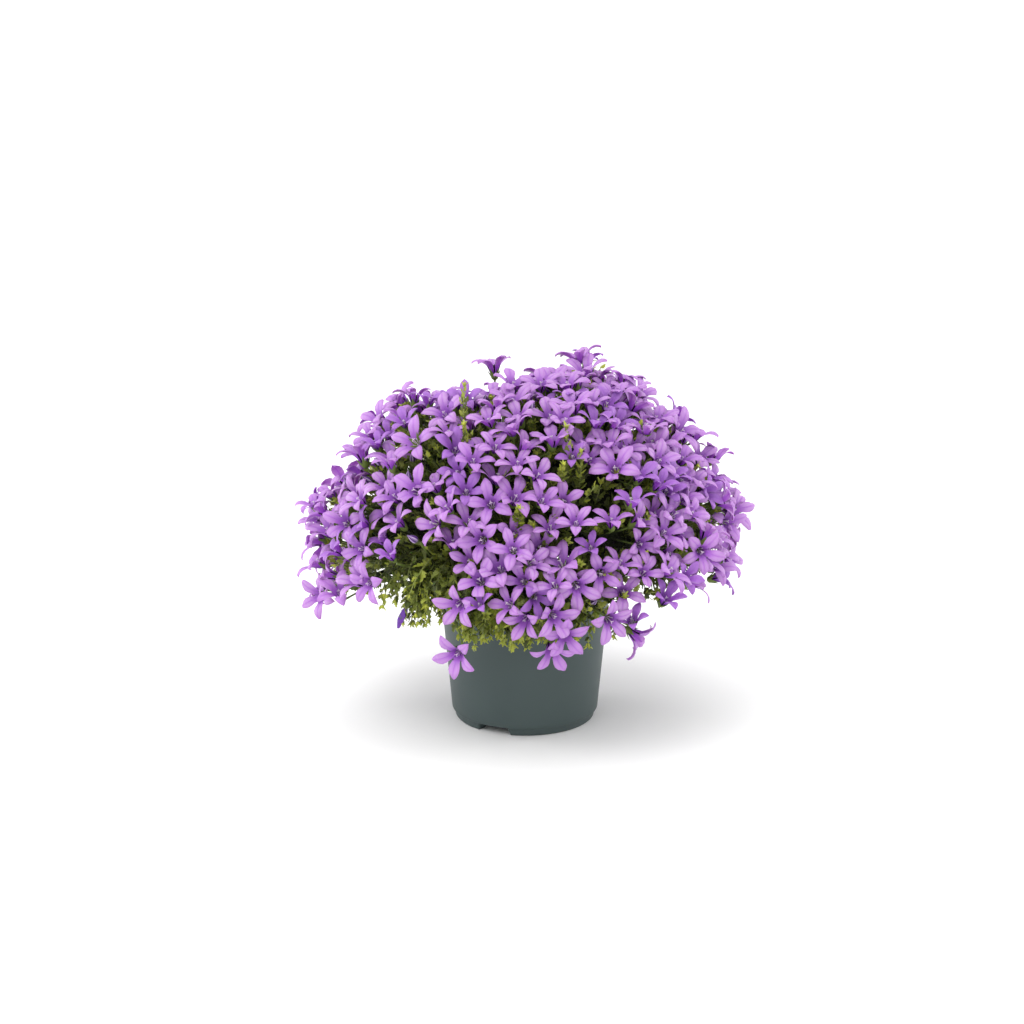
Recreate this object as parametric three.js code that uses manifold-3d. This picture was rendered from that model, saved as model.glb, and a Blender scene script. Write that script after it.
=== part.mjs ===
// A bellflower in its nursery pot, in millimetres, +Z up, with its front towards -Y.
// The origin is on the pot's axis, on the surface that the pot stands on.
// The plant is a dome of leafy shoots. Each shoot stands in a hole in the soil and swells into a core of packed
// foliage with leaves round it, and on each core stand a few sprays of bells. What would cross a neighbour is bent
// back to the plane halfway between the two.

import * as THREE from "three";
import { ConvexGeometry } from "three/addons/geometries/ConvexGeometry.js";
import { mergeVertices } from "three/addons/utils/BufferGeometryUtils.js";
import Module from "manifold-3d";

const wasm = await Module();
wasm.setup();

// Driving dimensions
const POT = {
  height: 92, baseRadius: 50.2, flare: 0.092, wall: 1.4, sides: 30,
  rimHeight: 7, rimProud: 1.8, floorUnder: 6.4, floorTop: 8, footInner: 39.5, footInset: 1.6,
  gapCentres: [-27, 93, 213], gapWidth: 27, gapHeight: 6, drainRadius: 4, drainCircle: 24,
};
const SOIL = { clearance: 0.5, top: 82, crown: 3 };
const DOME = { centreZ: 105, reach: 146.1, lowestSin: -0.13, skirtRaise: 0.11 };
const SKIRT_LIFTS = [
  // where the dome's lower edge is higher: azimuth, spread in degrees, and lift as a sine
  { azimuth: 62, spread: 22, lift: 0.27 },
  { azimuth: -52, spread: 17, lift: 0.2 },
  { azimuth: 150, spread: 20, lift: 0.08 },
  { azimuth: -140, spread: 22, lift: 0.1 },
  { azimuth: 94, spread: 10, lift: 0.05 },
];
const SWELLS = [
  // azimuth from the front towards the right, elevation, spread in degrees, and height
  { azimuth: 134, elevation: 67, spread: 9, height: 22 },
  { azimuth: 117, elevation: 56, spread: 9, height: -5 },
  { azimuth: 107, elevation: 44, spread: 9, height: 5 },
  { azimuth: 97, elevation: 23, spread: 9, height: 13 },
  { azimuth: 90, elevation: 0, spread: 16, height: -3 },
  { azimuth: -160, elevation: 72, spread: 11, height: -22 },
  { azimuth: -134, elevation: 66, spread: 12, height: -22 },
  { azimuth: -120, elevation: 79, spread: 13, height: -9 },
  { azimuth: 180, elevation: 80, spread: 9, height: -7 },
  { azimuth: -119, elevation: 58, spread: 8, height: 8 },
  { azimuth: -109, elevation: 47, spread: 9, height: 11 },
  { azimuth: -101, elevation: 31, spread: 9, height: -20 },
  { azimuth: -96, elevation: 19, spread: 10, height: 14 },
  { azimuth: -90, elevation: -6, spread: 18, height: -4 },
  { azimuth: 0, elevation: -5, spread: 30, height: -11 },
  { azimuth: 180, elevation: -5, spread: 30, height: -11 },
];
const STRAYS = [
  // bells that stand or hang clear of the dome, with the azimuth and elevation that each one faces
  { azimuth: -158, elevation: 69, reach: 146, faces: [-160, 75] },
  { azimuth: -19.5, elevation: 5, reach: 137, faces: [-25, -8] },
  { azimuth: -20.8, elevation: -10.2, reach: 133, faces: [-25, -12] },
  { azimuth: 7.6, elevation: -9.7, reach: 130, faces: [5, -35] },
  { azimuth: 36.3, elevation: -8, reach: 130, faces: [75, -35] },
  { azimuth: -78, elevation: -3, reach: 147, faces: [-40, 5] },
  { azimuth: 24, elevation: 0.5, reach: 137, faces: [24, -8] },
  { azimuth: 11, elevation: -3, reach: 136, faces: [12, -10] },
];
const LEAFY_GAPS = [
  // azimuth and elevation of the middle, and radius on the dome
  { azimuth: -42.8, elevation: 45, radius: 11 },
  { azimuth: -33, elevation: 47.2, radius: 12 },
  { azimuth: -26.5, elevation: 52, radius: 10 },
  { azimuth: -29, elevation: 60, radius: 8 },
  { azimuth: 11.5, elevation: 46.7, radius: 13 },
  { azimuth: 24.3, elevation: 42.8, radius: 11 },
  { azimuth: 22.2, elevation: 31.7, radius: 12 },
  { azimuth: -49, elevation: 23.6, radius: 10 },
  { azimuth: -8.3, elevation: 24.6, radius: 12 },
  { azimuth: 27, elevation: 22, radius: 11 },
  { azimuth: -46.5, elevation: 12.7, radius: 11 },
  { azimuth: -37.5, elevation: 12.4, radius: 15 },
  { azimuth: -29.9, elevation: 17.9, radius: 13 },
  { azimuth: -25.7, elevation: 13.3, radius: 13 },
  { azimuth: -31.4, elevation: 8.5, radius: 15 },
  { azimuth: -34.6, elevation: 2.4, radius: 14 },
  { azimuth: -26.5, elevation: 2.6, radius: 14 },
  { azimuth: -4.5, elevation: 12, radius: 9 },
  { azimuth: -13.3, elevation: 4.2, radius: 10 },
  { azimuth: 15, elevation: 5.8, radius: 10 },
  { azimuth: 150, elevation: 40, radius: 14 },
  { azimuth: -120, elevation: 28, radius: 14 },
  { azimuth: 200, elevation: 16, radius: 15 },
  { azimuth: 96, elevation: 22, radius: 13 },
];
const TRAILS = [
  // leafy stems that hang below the dome, with the azimuth, elevation and reach of their tips
  { azimuth: -41.6, elevation: 2.7, reach: 136 },
  { azimuth: -35, elevation: -3, reach: 124 },
  { azimuth: -21.6, elevation: -14, reach: 98 },
  { azimuth: -13, elevation: -11, reach: 95 },
  { azimuth: -4, elevation: -14, reach: 95 },
  { azimuth: 22, elevation: -12, reach: 99 },
  { azimuth: 44.2, elevation: 5, reach: 131 },
];
const BELL = {
  count: 458, radius: 15.6, shoulder: 10.2, shoulderAngle: 23, notch: 5.4, plainNotch: 7.2, notchDrop: 5.5,
  throat: 11, tube: 13, neck: 1.8, stalkPast: 1.5, fullShare: 0.02, budShare: 0.05,
  tipDrop: 2.5, flattest: 8, cupped: 34, deepShare: 0.4, deeper: 9, spacing: 18.5, edgeRoom: 7, rounds: 12,
  stalkRoom: 12, upright: 0.25, uprightTop: 0.55,
};
const BUD = { radius: 1.9, length: 11 };
const SPRAY = { count: 40, jointDepth: 38, jointRadius: 5, tries: 5 };
const SHOOT = { count: 14, radius: 1.5, holeRoom: 0.35, holeDepth: 9 };
const CORE = { depth: 45, innerShare: 0.3, lowest: 97, spread: 22, corners: 6, rough: 5, step: 3, deepest: 30 };
const LEAF = { length: 20, thickness: 0.7, fold: 0.22, sink: 1.6, facet: 360, attempts: 8 };
const TIP = { depth: 22, radius: 0.9, leaves: 2, step: 5, smallest: 12, trailStart: 80, trailRise: 5 };
const APART = 0.2; // from the plane halfway to a neighbour
const TOUCH = 0.3; // between two pieces that meet

const POT_GREY = new THREE.MeshStandardMaterial({ color: 0x4d5b5a, roughness: 0.55, metalness: 0 });
const SOIL_BROWN = new THREE.MeshStandardMaterial({ color: 0x35261a, roughness: 0.95, metalness: 0 });
const LEAF_GREEN = new THREE.MeshStandardMaterial({ color: 0x47731f, roughness: 0.6, metalness: 0 });
const PETAL_VIOLET = new THREE.MeshStandardMaterial({ color: 0xa871d6, roughness: 0.6, metalness: 0 });

const V = (x, y, z) => new THREE.Vector3(x, y, z);
const rad = THREE.MathUtils.degToRad;
const centre = V(0, 0, DOME.centreZ);
const UP = V(0, 0, 1);

// A seeded draw from 0 to 1.
function drawFrom(seed) {
  let state = seed;
  return () => {
    state = (state * 1664525 + 1013904223) % 4294967296;
    return state / 4294967296;
  };
}

function direction(azimuth, elevation) {
  const a = rad(azimuth);
  const e = rad(elevation);
  return V(Math.sin(a) * Math.cos(e), -Math.cos(a) * Math.cos(e), Math.sin(e));
}

// The dome's reach from its centre, with its swells and dips.
function reach(dir) {
  let sum = DOME.reach;
  for (const s of SWELLS) {
    const off = dir.angleTo(direction(s.azimuth, s.elevation)) / rad(s.spread);
    sum += s.height * Math.exp(-0.5 * off * off);
  }
  return sum;
}

// Even places on the dome: a golden spiral from its top down to its skirt, which is higher in front and behind.
function spiralDirection(i, count, turn) {
  const a = i * Math.PI * (3 - Math.sqrt(5)) + turn;
  let lowest = DOME.lowestSin + DOME.skirtRaise * Math.cos(a) ** 2;
  for (const s of SKIRT_LIFTS) {
    const off = THREE.MathUtils.euclideanModulo((a * 180) / Math.PI - s.azimuth + 180, 360) - 180;
    lowest += s.lift * Math.exp(-0.5 * (off / s.spread) ** 2);
  }
  const z = 1 - ((i + 0.5) / count) * (1 - lowest);
  const r = Math.sqrt(1 - z * z);
  return V(r * Math.sin(a), -r * Math.cos(a), z);
}

const nearest = (dir, list) =>
  list.reduce((best, d, i) => (dir.dot(d) > dir.dot(list[best]) ? i : best), 0);

// Keeps a point on its own side of the planes through the dome's centre that part its cell from the others.
function keepInCell(p, own, list, room) {
  for (const other of list) {
    if (other === own) continue;
    const n = own.clone().sub(other).normalize();
    const side = p.clone().sub(centre).dot(n);
    if (side < room) p.addScaledVector(n, room - side);
  }
  return p;
}

function solidOf(geometry) {
  const g = geometry.clone();
  g.deleteAttribute("normal");
  g.deleteAttribute("uv");
  const merged = mergeVertices(g, 1e-4);
  return new wasm.Manifold(
    new wasm.Mesh({
      numProp: 3,
      vertProperties: new Float32Array(merged.attributes.position.array),
      triVerts: new Uint32Array(merged.index.array),
    }),
  );
}

function closedGeometry(points, faces) {
  return new THREE.BufferGeometry().setFromPoints(points).setIndex(faces.flat());
}

function meshOf(solid, name, material) {
  const m = solid.getMesh();
  const geometry = new THREE.BufferGeometry();
  geometry.setAttribute("position", new THREE.BufferAttribute(m.vertProperties, 3));
  geometry.setIndex(new THREE.BufferAttribute(m.triVerts, 1));
  const mesh = new THREE.Mesh(geometry, material);
  mesh.name = name;
  return mesh;
}

// Joins solids and keeps the largest body, so that no loose scrap is left.
function fuse(solids) {
  const joined = solids.reduce((sum, s) => sum.add(s));
  return joined.decompose().reduce((a, b) => (b.volume() > a.volume() ? b : a));
}

function polygon(radius, sides) {
  const corners = Array.from({ length: sides }, (_, i) => {
    const a = (i / sides) * 2 * Math.PI;
    return new THREE.Vector2(radius * Math.cos(a), radius * Math.sin(a));
  });
  return new THREE.Shape(corners);
}

// A stem: rings round a line of points, closed at both ends.
function stem(line, radius, sides) {
  const side = V(0.3, 1, 0.1).normalize();
  const points = line.flatMap((p, i) => {
    const way = line[Math.min(i + 1, line.length - 1)].clone().sub(line[Math.max(i - 1, 0)]).normalize();
    const u = side.clone().cross(way).normalize();
    const v = way.clone().cross(u);
    return Array.from({ length: sides }, (_, k) => {
      const a = (k / sides) * 2 * Math.PI;
      return p.clone().addScaledVector(u, radius * Math.cos(a)).addScaledVector(v, radius * Math.sin(a));
    });
  });
  const faces = [];
  const last = (line.length - 1) * sides;
  for (let k = 0; k < sides; k += 1) {
    const next = (k + 1) % sides;
    for (let low = 0; low < last; low += sides) {
      faces.push([low + k, low + next, low + sides + k], [low + next, low + sides + next, low + sides + k]);
    }
    if (k > 0 && next > 0) faces.push([0, next, k], [last, last + k, last + next]);
  }
  return solidOf(closedGeometry(points, faces));
}

// Turns a profile of [radius, height] round the Z axis.
function turned(profile, sides) {
  const points = profile.map(([r, z]) => new THREE.Vector2(r, z));
  return new THREE.LatheGeometry(points, sides).rotateX(Math.PI / 2);
}

function prism(shape, low, high) {
  return solidOf(new THREE.ExtrudeGeometry(shape, { depth: high - low, bevelEnabled: false }).translate(0, 0, low));
}

const wallRadius = (z) => POT.baseRadius + POT.flare * z;

// The pot: a flared wall with a rim, and a raised floor on a foot ring that three gaps cut into feet.
function pot() {
  const inner = (z) => wallRadius(z) - POT.wall;
  const rimUnder = POT.height - POT.rimHeight;
  const profile = [
    [0, POT.floorUnder],
    [POT.footInner, POT.floorUnder],
    [POT.footInner + 1.5, 0],
    [wallRadius(0) - POT.footInset * 2, 0],
    [wallRadius(0) - POT.footInset * 0.6, 1.8],
    [wallRadius(POT.floorUnder), POT.floorUnder],
    [wallRadius(rimUnder), rimUnder],
    [wallRadius(rimUnder) + POT.rimProud, rimUnder + 0.8],
    [wallRadius(POT.height) + POT.rimProud, POT.height],
    [inner(POT.height), POT.height],
    [inner(POT.floorTop + 2), POT.floorTop + 2],
    [inner(POT.floorTop) - 2, POT.floorTop],
    [0, POT.floorTop],
  ];
  let solid = solidOf(turned(profile, POT.sides));
  for (const centreAngle of POT.gapCentres) {
    const low = rad(centreAngle - 90 - POT.gapWidth / 2);
    const high = rad(centreAngle - 90 + POT.gapWidth / 2);
    const reachOut = wallRadius(0) + 8;
    const gap = new THREE.Shape();
    gap.absarc(0, 0, reachOut, low, high, false);
    gap.lineTo(POT.footInner * 0.8 * Math.cos(high), POT.footInner * 0.8 * Math.sin(high));
    gap.lineTo(POT.footInner * 0.8 * Math.cos(low), POT.footInner * 0.8 * Math.sin(low));
    const points = gap.extractPoints(4).shape;
    solid = solid.subtract(prism(new THREE.Shape(points), -1, POT.gapHeight));
    const drain = polygon(POT.drainRadius, 8).getPoints().map((p) => {
      const a = rad(centreAngle - 90);
      return new THREE.Vector2(p.x + POT.drainCircle * Math.cos(a), p.y + POT.drainCircle * Math.sin(a));
    });
    solid = solid.subtract(prism(new THREE.Shape(drain), 0, POT.floorTop + 2));
  }
  return solid;
}

// The soil fills the pot to just under its rim, and has a plain hole for each shoot.
function soil(feet) {
  const radius = (z) => wallRadius(z) - POT.wall - SOIL.clearance;
  const low = POT.floorTop + TOUCH;
  const profile = [
    [0, low],
    [radius(low) - 2.6, low],
    [radius(low + 3), low + 3],
    [radius(SOIL.top), SOIL.top],
    [0, SOIL.top + SOIL.crown],
  ];
  let solid = solidOf(turned(profile, POT.sides));
  for (const foot of feet) {
    const hole = polygon(SHOOT.radius + SHOOT.holeRoom + 0.5, 5).getPoints();
    const placed = hole.map((p) => new THREE.Vector2(p.x + foot.x, p.y + foot.y));
    solid = solid.subtract(prism(new THREE.Shape(placed), foot.z - TOUCH, SOIL.top + 12));
  }
  return solid;
}

// One bell, as points and faces. Round its rim run the tip, shoulder and notch of each of five lobes, and the same rim
// closes the inside down to the throat and the outside down to a neck of three points, which is left open below.
// A bud is a spindle on the same neck.
function bell(b, keep) {
  const side = Math.abs(b.axis.z) > 0.9 ? V(1, 0, 0) : UP;
  const u = side.clone().cross(b.axis).normalize();
  const v = b.axis.clone().cross(u);
  const at = (radius, angle, height) =>
    b.place.clone()
      .addScaledVector(u, radius * Math.cos(angle) * b.size)
      .addScaledVector(v, radius * Math.sin(angle) * b.size)
      .addScaledVector(b.axis, height * b.size);
  const neckCentre = keep(at(0, 0, -BELL.tube), BELL.neck);
  const rim = [];
  for (let i = 0; i < 5; i += 1) {
    const a = b.spin + rad(72 * i);
    if (b.kind === "bud") {
      rim.push(neckCentre.clone().add(at(BUD.radius, a, BUD.length * 0.5).sub(b.place)));
      continue;
    }
    const full = b.kind === "full";
    const notch = full ? BELL.notch : BELL.plainNotch;
    const lift = rad(BELL.flattest + BELL.cupped * b.cup);
    const lobe = BELL.radius - BELL.notch;
    rim.push(at(BELL.notch + lobe * Math.cos(lift), a, lobe * Math.sin(lift) - BELL.tipDrop));
    if (full) rim.push(at(BELL.shoulder, a + rad(BELL.shoulderAngle), -1.5));
    rim.push(at(notch, a + rad(36), -BELL.notchDrop));
    if (full) rim.push(at(BELL.shoulder, a + rad(72 - BELL.shoulderAngle), -1.5));
  }
  const middle = b.kind === "bud"
    ? neckCentre.clone().add(at(0, 0, BUD.length).sub(b.place))
    : at(0, 0, -BELL.throat);
  const neck = [0, 1, 2].map((i) => {
    const a = b.spin + rad(120 * i);
    return neckCentre.clone()
      .addScaledVector(u, BELL.neck * Math.cos(a))
      .addScaledVector(v, BELL.neck * Math.sin(a));
  });
  const n = rim.length;
  const points = [...rim.map((p) => keep(p, 0)), keep(middle, 0.3), ...neck];
  const faces = [];
  const third = (i) => Math.floor((i * 3) / n + 0.5) % 3;
  for (let i = 0; i < n; i += 1) {
    const next = (i + 1) % n;
    faces.push([i, next, n]);
    faces.push([next, i, n + 1 + third(i)]);
    if (third(i) !== third(next)) faces.push([next, n + 1 + third(i), n + 1 + third(next)]);
  }
  return { points, faces, neckCentre };
}

// A bell's stalk tapers from its neck to a point in the joint.
function pointed(head, joint) {
  const down = joint.clone().sub(head.neckCentre).normalize();
  const last = head.points.length;
  const root = joint.clone().addScaledVector(down, BELL.stalkPast);
  const faces = [0, 1, 2].map((i) => [last - 3 + i, last, last - 3 + ((i + 1) % 3)]);
  return solidOf(closedGeometry([...head.points, root], [...head.faces, ...faces]));
}

// A bell's stalk spreads from its neck to the three corners of a facet, turned the way that twists it least.
function spreading(head, corners) {
  const last = head.points.length;
  const neck = head.points.slice(-3);
  const twist = (k) => neck.reduce((sum, p, i) => sum + p.distanceTo(corners[(i + k) % 3]), 0);
  const turn = [0, 1, 2].reduce((best, k) => (twist(k) < twist(best) ? k : best), 0);
  const foot = [0, 1, 2].map((i) => corners[(i + turn) % 3]);
  const faces = [0, 1, 2].flatMap((i) => {
    const next = (i + 1) % 3;
    return [[last - 3 + i, last + i, last - 3 + next], [last + i, last + next, last - 3 + next]];
  });
  return { points: [...head.points, ...foot], faces: [...head.faces, ...faces], last };
}

// A spray: a many-sided knot, on whose facets the bells' stalks stand. A bell that would cross another one, or finds
// no facet that looks its way, is fused into the spray with a pointed stalk instead.
function spray(heads, own, joint) {
  const shape = new THREE.IcosahedronGeometry(SPRAY.jointRadius, 0);
  const corner = V(0, 0, 0).fromBufferAttribute(shape.attributes.position, 0).normalize();
  shape.applyQuaternion(new THREE.Quaternion().setFromUnitVectors(corner, own.clone().negate()));
  shape.translate(joint.x, joint.y, joint.z);
  const at = shape.attributes.position;
  const facets = Array.from({ length: at.count / 3 }, (_, f) =>
    [0, 1, 2].map((k) => V(0, 0, 0).fromBufferAttribute(at, f * 3 + k)));
  const ways = facets.map((corners) => new THREE.Triangle(...corners).getNormal(V(0, 0, 0)));
  const taken = new Map();
  const standing = [];
  const crossing = [];
  for (const head of heads) {
    const way = head.neckCentre.clone().sub(joint).normalize();
    const nearby = ways.map((_, f) => f)
      .filter((f) => !taken.has(f))
      .sort((a, b) => way.dot(ways[b]) - way.dot(ways[a]))
      .slice(0, SPRAY.tries);
    const found = nearby.find((f) => {
      const below = (p) => p.clone().sub(facets[f][0]).dot(ways[f]) < 1;
      if (head.points.slice(-3).some(below)) return false;
      const stalked = spreading(head, facets[f]);
      const closed = [...stalked.faces, [stalked.last + 2, stalked.last + 1, stalked.last]];
      const solid = solidOf(closedGeometry(stalked.points, closed));
      if (standing.some((other) => other.intersect(solid).volume() > 0)) return false;
      standing.push(solid);
      taken.set(f, stalked);
      return true;
    });
    if (found === undefined) crossing.push(pointed(head, joint));
  }
  const points = [];
  const faces = [];
  facets.forEach((corners, f) => {
    const piece = taken.get(f) ?? { points: corners, faces: [[0, 1, 2]] };
    faces.push(...piece.faces.map((face) => face.map((i) => i + points.length)));
    points.push(...piece.points);
  });
  return fuse([solidOf(closedGeometry(points, faces)), ...crossing]);
}

// A toothed leaf: an outline in its own plane, closed above and below to a middle point.
function leaf(root, along, across) {
  const normal = along.clone().cross(across).normalize();
  const half = [[0.1, 0.3], [0.38, 0.42], [0.5, 0.24]];
  const outline = [[-0.05, 0], ...half, [1, 0], ...half.map(([x, y]) => [x, -y]).reverse()];
  const at = (x, y, lift) =>
    root.clone()
      .addScaledVector(along, x * LEAF.length)
      .addScaledVector(across, y * LEAF.length)
      .addScaledVector(normal, LEAF.fold * Math.abs(y) * LEAF.length + lift);
  const points = outline.map(([x, y]) => at(x, y, 0));
  points.push(at(0.4, 0, LEAF.thickness), at(0.4, 0, -LEAF.thickness));
  const n = outline.length;
  const faces = [];
  for (let i = 0; i < n; i += 1) {
    const next = (i + 1) % n;
    faces.push([next, i, n], [i, next, n + 1]);
  }
  return { points, faces };
}

// The layout: where the shoots, sprays and bells are.
const shootDirections = Array.from({ length: SHOOT.count }, (_, i) => spiralDirection(i, SHOOT.count, 0.6));
const sprayDirections = Array.from({ length: SPRAY.count }, (_, i) => spiralDirection(i, SPRAY.count, 1.9));
const gapDirections = LEAFY_GAPS.map((g) => direction(g.azimuth, g.elevation));
const gapPlaces = gapDirections.map((d) => centre.clone().addScaledVector(d, reach(d)));
const sprayJoints = sprayDirections.map((d) => centre.clone().addScaledVector(d, reach(d) - SPRAY.jointDepth));

function layOutBells() {
  const draw = drawFrom(17664);
  const bells = [];
  for (let i = 0; i < BELL.count; i += 1) {
    const dir = spiralDirection(i, BELL.count, 0.27);
    const shift = V(draw() - 0.5, draw() - 0.5, draw() - 0.5).multiplyScalar(0.075);
    const lean = V(draw() - 0.5, draw() - 0.5, draw() - 0.5).multiplyScalar(1.25);
    const deep = 8 * draw() - 4 + (draw() < BELL.deepShare ? BELL.deeper : 0);
    const spin = draw() * 6;
    const size = 0.83 + 0.27 * draw();
    const cup = draw() * draw();
    const lot = draw();
    const kind = lot < BELL.budShare ? "bud" : lot < BELL.budShare + BELL.fullShare ? "full" : "plain";
    dir.add(shift).normalize();
    if (LEAFY_GAPS.some((g, k) => dir.angleTo(gapDirections[k]) * DOME.reach < g.radius)) continue;
    const spray = nearest(dir, sprayDirections);
    const place = centre.clone().addScaledVector(dir, reach(dir) - deep);
    bells.push({ spray, place, deep, lean, spin, size, cup, kind });
  }
  for (const stray of STRAYS) {
    const dir = direction(stray.azimuth, stray.elevation);
    const spray = nearest(dir, sprayDirections);
    const place = centre.clone().addScaledVector(dir, stray.reach);
    const deep = reach(dir) - stray.reach;
    const looks = { axis: direction(...stray.faces), spin: 2 * draw(), size: 1, cup: 0.3, kind: "full" };
    bells.push({ spray, place, deep, stray: true, ...looks });
  }
  for (let round = 0; round < BELL.rounds; round += 1) {
    const pushes = bells.map((b) => {
      const push = V(0, 0, 0);
      for (const other of bells) {
        const away = b.place.clone().sub(other.place);
        const far = away.length();
        if (far > 0 && far < BELL.spacing) push.addScaledVector(away, (BELL.spacing - far) / far / 3);
      }
      LEAFY_GAPS.forEach((gap, k) => {
        const clear = b.place.clone().sub(gapPlaces[k]);
        const far = clear.length();
        if (far < gap.radius) push.addScaledVector(clear, (gap.radius - far) / far);
      });
      return push;
    });
    bells.forEach((b, i) => {
      if (!b.stray) b.place.add(pushes[i]);
      keepInCell(b.place, sprayDirections[b.spray], sprayDirections, BELL.edgeRoom);
      const dir = b.place.clone().sub(centre).normalize();
      b.place.copy(centre).addScaledVector(dir, reach(dir) - b.deep);
    });
  }
  for (const b of bells) {
    if (b.stray) continue;
    const dir = b.place.clone().sub(centre).normalize();
    b.axis = dir.addScaledVector(UP, BELL.upright + BELL.uprightTop * dir.z).add(b.lean).normalize();
  }
  return bells;
}

// Bells in one spray are parted by the plane halfway between the two.
function partFrom(p, b, other, room) {
  const n = b.place.clone().sub(other.place);
  if (n.length() > 2.2 * BELL.radius) return;
  const middle = b.place.clone().add(other.place).multiplyScalar(0.5);
  n.normalize();
  const side = p.clone().sub(middle).dot(n);
  if (side < room) p.addScaledVector(n, room - side);
}

const laidOut = layOutBells();

// Whether one bell's stalk would pass through the lobes of another.
function pierces(a, b) {
  const foot = sprayJoints[a.spray];
  const neck = a.place.clone().addScaledVector(a.axis, -BELL.tube * a.size);
  const mouth = b.place.clone().addScaledVector(b.axis, -2);
  const low = foot.clone().sub(mouth).dot(b.axis);
  const high = neck.clone().sub(mouth).dot(b.axis);
  if (low * high >= 0) return false;
  return foot.clone().lerp(neck, low / (low - high)).distanceTo(mouth) < BELL.stalkRoom;
}

// No bell grows where a stalk of its own spray passes.
const bells = laidOut.filter(
  (b) => b.stray || !laidOut.some((a) => a !== b && a.spray === b.spray && pierces(a, b)),
);
const group = new THREE.Group();

const spraySolids = sprayDirections.map((own, k) => {
  const members = bells.filter((b) => b.spray === k);
  const heads = members.map((b) => {
    const keep = (p, room) => {
      members.filter((o) => o !== b).forEach((o) => partFrom(p, b, o, APART + room));
      return keepInCell(p, own, sprayDirections, APART + room);
    };
    return bell(b, keep);
  });
  return spray(heads, own, sprayJoints[k]);
});

// Lower shoots stand nearer the pot's rim.
const feet = shootDirections.map((d) => {
  const share = Math.acos(d.z) / Math.acos(DOME.lowestSin);
  const out = V(d.x, d.y, 0).normalize().multiplyScalar(5 + 33 * share);
  return V(out.x, out.y, SOIL.top - SHOOT.holeDepth);
});

// The core of a shoot: the hull of points spread round its cell and of its sprays' seats.
function core(own, s, draw, sunk) {
  const at = (dir, depth) => centre.clone().addScaledVector(dir, reach(dir) - depth);
  const side = own.clone().cross(V(0.3, 1, 0.1)).normalize();
  const other = own.clone().cross(side);
  const depth = CORE.depth + sunk;
  const corners = [centre.clone().addScaledVector(own, DOME.reach * CORE.innerShare), at(own, depth)];
  for (let i = 0; i < CORE.corners; i += 1) {
    const a = (i / CORE.corners) * 2 * Math.PI + draw() * 0.5;
    const out = side.clone().multiplyScalar(Math.cos(a)).addScaledVector(other, Math.sin(a));
    const dir = own.clone().addScaledVector(out, Math.tan(rad(CORE.spread))).normalize();
    corners.push(at(dir, depth + CORE.rough * draw()));
    corners.push(at(dir, CORE.depth + 40));
  }
  for (const p of corners) {
    p.z = Math.max(p.z, CORE.lowest);
    keepInCell(p, own, shootDirections, APART);
  }
  sprayDirections.forEach((d, k) => {
    if (nearest(d, shootDirections) !== s) return;
    corners.push(sprayJoints[k].clone().addScaledVector(d, -SPRAY.jointRadius - TOUCH));
  });
  return new ConvexGeometry(corners);
}

// The core is sunk deeper, step by step, until it is clear of all sprays.
function clearCore(own, s) {
  for (let sunk = 0; sunk < CORE.deepest; sunk += CORE.step) {
    const hull = core(own, s, drawFrom(500 + s), sunk);
    const solid = solidOf(hull);
    if (spraySolids.every((spray) => spray.intersect(solid).volume() === 0)) return hull;
  }
  throw new Error(`no room for the core of shoot ${s}`);
}

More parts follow.
